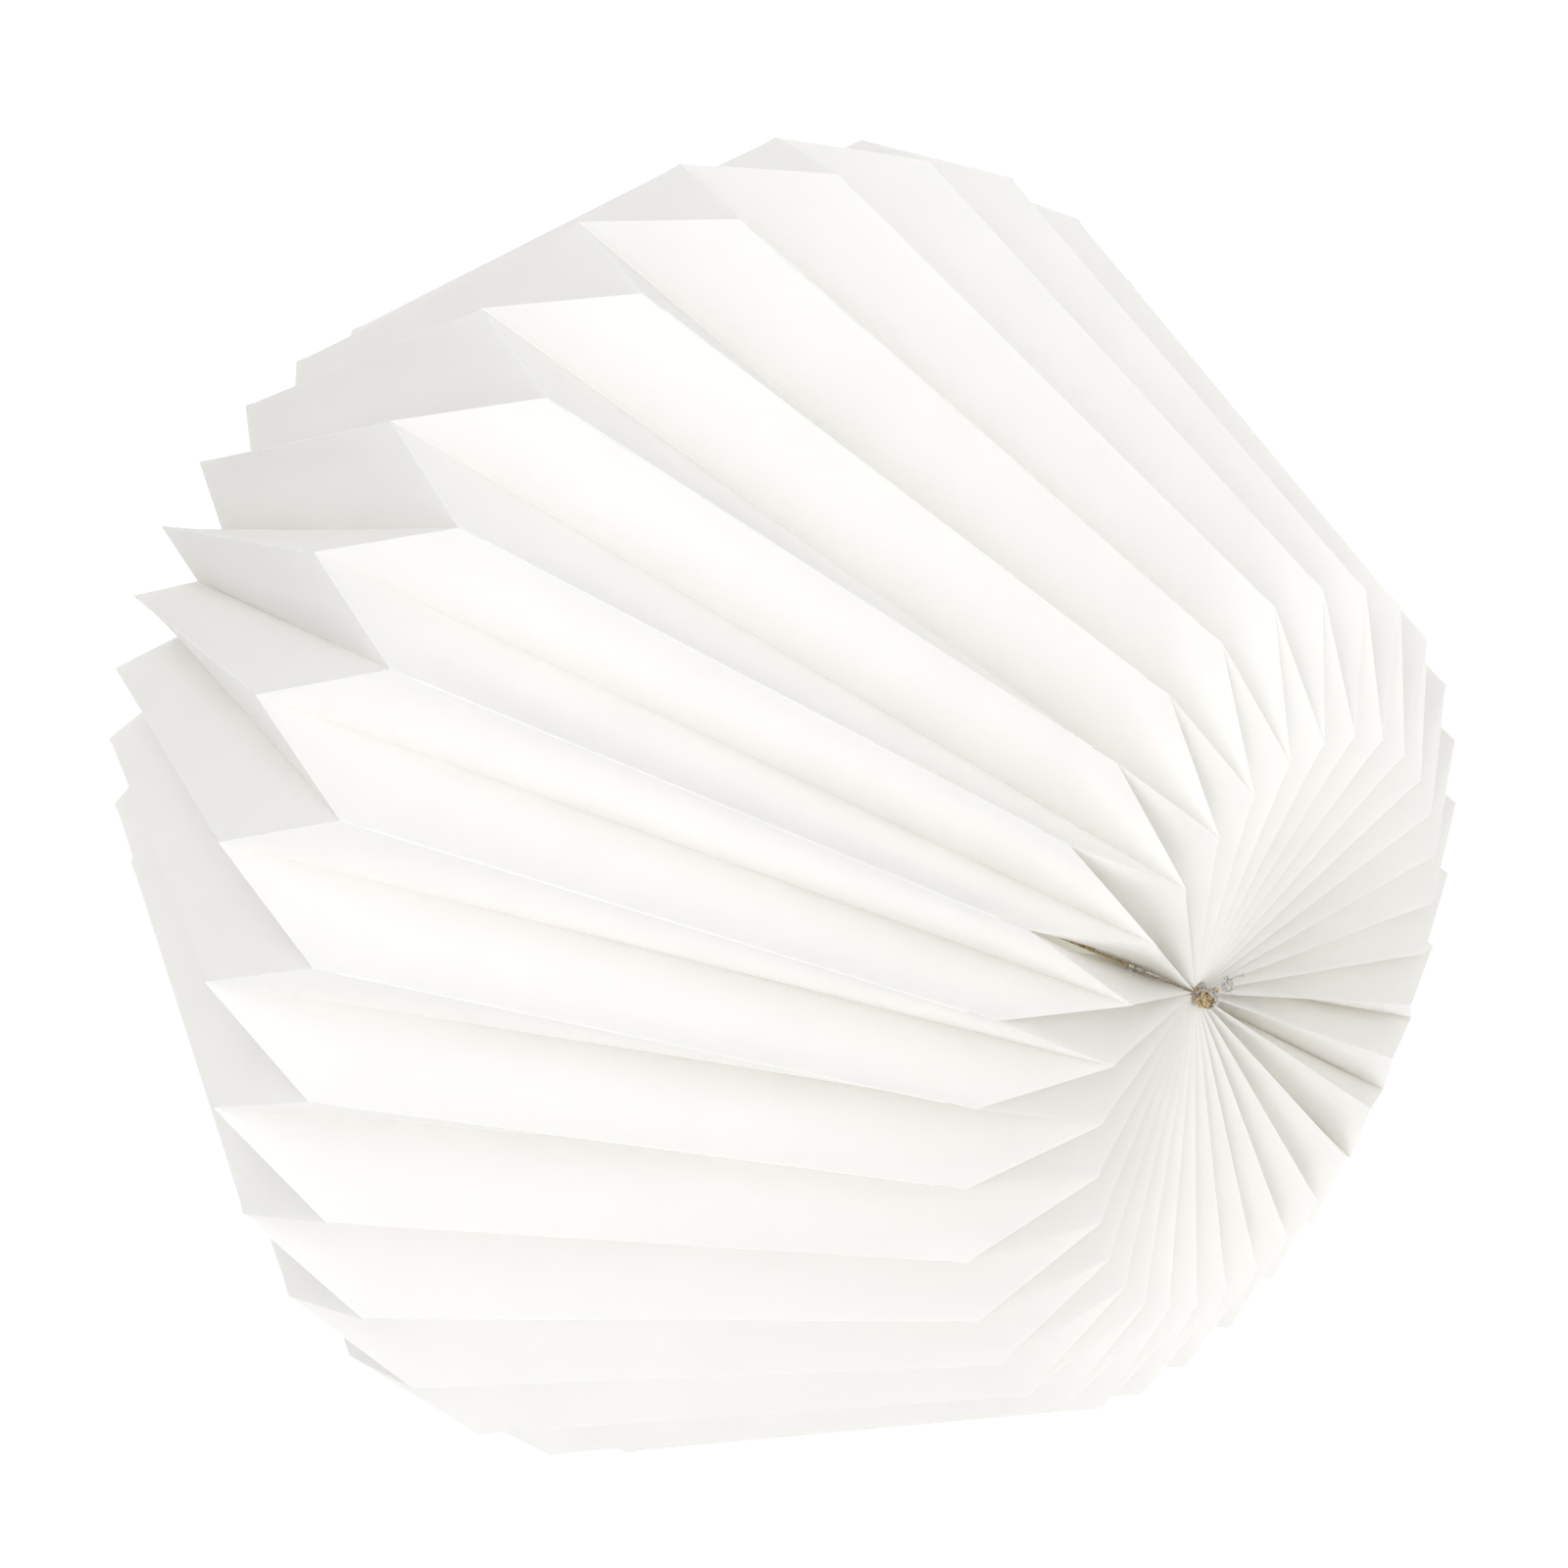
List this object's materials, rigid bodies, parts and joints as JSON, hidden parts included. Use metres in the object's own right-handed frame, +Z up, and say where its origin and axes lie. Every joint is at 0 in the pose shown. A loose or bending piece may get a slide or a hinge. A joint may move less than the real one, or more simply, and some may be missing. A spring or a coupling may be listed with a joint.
{
  "type": "pleated paper lantern",
  "caption": "Hanging round lantern of pleated white paper, creased across into facets, gathered at both poles and hung by a cord on its axis.",
  "frame": {"origin": "centre of the hanging ring's bore", "axes": "+Z up along the lantern's axis, the gathered pole with the knot at the bottom; -Y through the closing seam"},
  "size_m": [0.3008, 0.3007, 0.2908],
  "materials": {
    "white_paper": "matte",
    "tape": "matte",
    "gold_cord": "satin",
    "grey_thread": "matte",
    "crimp_white": "satin",
    "brass": "polished"
  },
  "bodies": {
    "hanger": {"hanging_ring": "brass"},
    "core": {"hanging_cord": "gold_cord", "cord_crimp": "crimp_white", "pole_knot": "gold_cord", "top_stop_knot": "gold_cord", "gather_thread_bottom": "grey_thread", "gather_knot_bottom": "grey_thread", "gather_thread_top": "grey_thread", "gather_knot_top": "grey_thread"},
    "sheet_01": {"paper_01": "white_paper"},
    "sheet_02": {"paper_02": "white_paper"},
    "sheet_03": {"paper_03": "white_paper"},
    "sheet_04": {"paper_04": "white_paper"},
    "sheet_05": {"paper_05": "white_paper"},
    "sheet_06": {"paper_06": "white_paper"},
    "sheet_07": {"paper_07": "white_paper"},
    "sheet_08": {"paper_08": "white_paper"},
    "sheet_09": {"paper_09": "white_paper"},
    "sheet_10": {"paper_10": "white_paper"},
    "sheet_11": {"paper_11": "white_paper"},
    "sheet_12": {"paper_12": "white_paper"},
    "sheet_13": {"paper_13": "white_paper"},
    "sheet_14": {"paper_14": "white_paper"},
    "sheet_15": {"paper_15": "white_paper"},
    "sheet_16": {"paper_16": "white_paper", "seam_tape_middle": "tape", "seam_tape_upper": "tape"}
  },
  "joints": [
    {"name": "ring_swing", "type": "hinge", "parent": "hanger", "child": "core", "pos_m": [0, 0, -0.012], "axis": [1, 0, 0], "range_deg": [-60, 60]},
    {"name": "fan_01", "type": "hinge", "parent": "core", "child": "sheet_01", "pos_m": [0, 0, -0.15], "axis": [0, 0, 1], "range_deg": [-10.69, 0], "deforming": ["paper_01"]},
    {"name": "fan_02", "type": "hinge", "parent": "core", "child": "sheet_02", "pos_m": [0, 0, -0.15], "axis": [0, 0, 1], "range_deg": [-32.17, 0], "deforming": ["paper_02"]},
    {"name": "fan_03", "type": "hinge", "parent": "core", "child": "sheet_03", "pos_m": [0, 0, -0.15], "axis": [0, 0, 1], "range_deg": [-53.86, 0], "deforming": ["paper_03"]},
    {"name": "fan_04", "type": "hinge", "parent": "core", "child": "sheet_04", "pos_m": [0, 0, -0.15], "axis": [0, 0, 1], "range_deg": [-75.67, 0], "deforming": ["paper_04"]},
    {"name": "fan_05", "type": "hinge", "parent": "core", "child": "sheet_05", "pos_m": [0, 0, -0.15], "axis": [0, 0, 1], "range_deg": [-97.54, 0], "deforming": ["paper_05"]},
    {"name": "fan_06", "type": "hinge", "parent": "core", "child": "sheet_06", "pos_m": [0, 0, -0.15], "axis": [0, 0, 1], "range_deg": [-119.36, 0], "deforming": ["paper_06"]},
    {"name": "fan_07", "type": "hinge", "parent": "core", "child": "sheet_07", "pos_m": [0, 0, -0.15], "axis": [0, 0, 1], "range_deg": [-141.04, 0], "deforming": ["paper_07"]},
    {"name": "fan_08", "type": "hinge", "parent": "core", "child": "sheet_08", "pos_m": [0, 0, -0.15], "axis": [0, 0, 1], "range_deg": [-162.53, 0], "deforming": ["paper_08"]},
    {"name": "fan_09", "type": "hinge", "parent": "core", "child": "sheet_09", "pos_m": [0, 0, -0.15], "axis": [0, 0, 1], "range_deg": [-183.78, 0], "deforming": ["paper_09"]},
    {"name": "fan_10", "type": "hinge", "parent": "core", "child": "sheet_10", "pos_m": [0, 0, -0.15], "axis": [0, 0, 1], "range_deg": [-204.79, 0], "deforming": ["paper_10"]},
    {"name": "fan_11", "type": "hinge", "parent": "core", "child": "sheet_11", "pos_m": [0, 0, -0.15], "axis": [0, 0, 1], "range_deg": [-225.61, 0], "deforming": ["paper_11"]},
    {"name": "fan_12", "type": "hinge", "parent": "core", "child": "sheet_12", "pos_m": [0, 0, -0.15], "axis": [0, 0, 1], "range_deg": [-246.29, 0], "deforming": ["paper_12"]},
    {"name": "fan_13", "type": "hinge", "parent": "core", "child": "sheet_13", "pos_m": [0, 0, -0.15], "axis": [0, 0, 1], "range_deg": [-266.93, 0], "deforming": ["paper_13"]},
    {"name": "fan_14", "type": "hinge", "parent": "core", "child": "sheet_14", "pos_m": [0, 0, -0.15], "axis": [0, 0, 1], "range_deg": [-287.61, 0], "deforming": ["paper_14"]},
    {"name": "fan_15", "type": "hinge", "parent": "core", "child": "sheet_15", "pos_m": [0, 0, -0.15], "axis": [0, 0, 1], "range_deg": [-308.42, 0], "deforming": ["paper_15"]},
    {"name": "fan_16", "type": "hinge", "parent": "core", "child": "sheet_16", "pos_m": [0, 0, -0.15], "axis": [0, 0, 1], "range_deg": [-329.44, 0], "deforming": ["paper_16", "seam_tape_middle", "seam_tape_upper"]}
  ],
  "couplings": [
    {"joint": "fan_01", "follows": "fan_16", "ratio": 0.032438},
    {"joint": "fan_02", "follows": "fan_16", "ratio": 0.097655},
    {"joint": "fan_03", "follows": "fan_16", "ratio": 0.16348},
    {"joint": "fan_04", "follows": "fan_16", "ratio": 0.22971},
    {"joint": "fan_05", "follows": "fan_16", "ratio": 0.29607},
    {"joint": "fan_06", "follows": "fan_16", "ratio": 0.3623},
    {"joint": "fan_07", "follows": "fan_16", "ratio": 0.42812},
    {"joint": "fan_08", "follows": "fan_16", "ratio": 0.49334},
    {"joint": "fan_09", "follows": "fan_16", "ratio": 0.55785},
    {"joint": "fan_10", "follows": "fan_16", "ratio": 0.62164},
    {"joint": "fan_11", "follows": "fan_16", "ratio": 0.68482},
    {"joint": "fan_12", "follows": "fan_16", "ratio": 0.7476},
    {"joint": "fan_13", "follows": "fan_16", "ratio": 0.81024},
    {"joint": "fan_14", "follows": "fan_16", "ratio": 0.87302},
    {"joint": "fan_15", "follows": "fan_16", "ratio": 0.93621}
  ]
}
